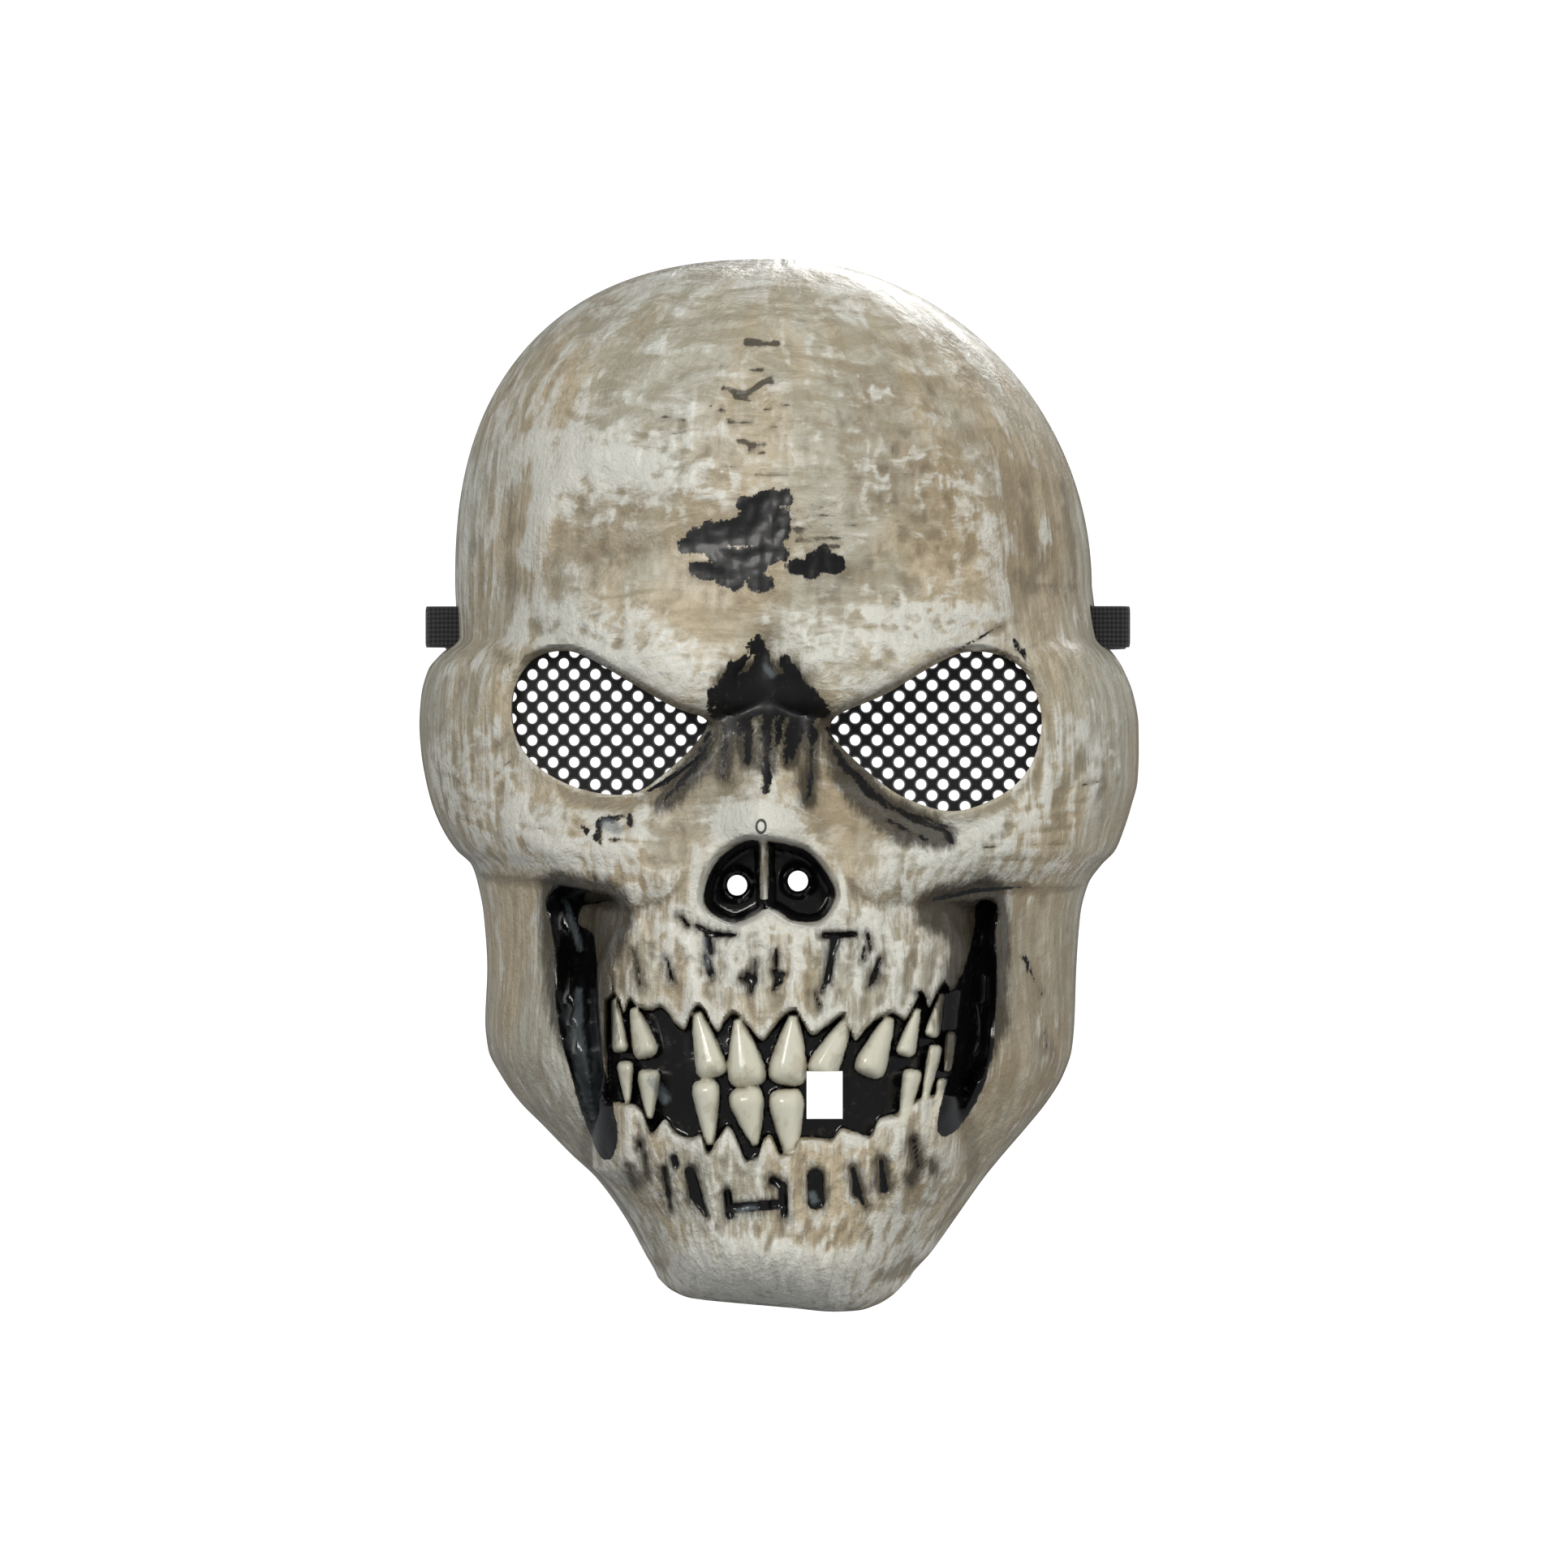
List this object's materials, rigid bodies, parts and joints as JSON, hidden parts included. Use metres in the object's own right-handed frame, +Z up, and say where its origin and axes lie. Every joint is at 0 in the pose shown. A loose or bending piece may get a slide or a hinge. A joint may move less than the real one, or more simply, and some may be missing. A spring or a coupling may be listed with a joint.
{
  "type": "skull mask",
  "caption": "Moulded plastic skull face mask with black net behind the eye openings, deep cheek hollows, relief teeth and an elastic band round the head.",
  "frame": {"origin": "inside the hollow for the face, on the mask's middle plane at the height of the eyes, 46 mm in front of the rearmost edge of the rim", "axes": "-Y out of the face towards the viewer, +Y back into the head, +X to the viewer's right (the wearer's left), +Z up"},
  "size_m": [0.1578, 0.2069, 0.2281],
  "materials": {
    "bone_plastic": "satin gloss, hand painted",
    "black_net": "matt perforated fabric",
    "strap_elastic": "matt woven elastic"
  },
  "bodies": {
    "root": {"mask_shell": "bone_plastic", "eye_net_left": "black_net", "eye_net_right": "black_net", "head_strap": "strap_elastic"}
  },
  "joints": []
}
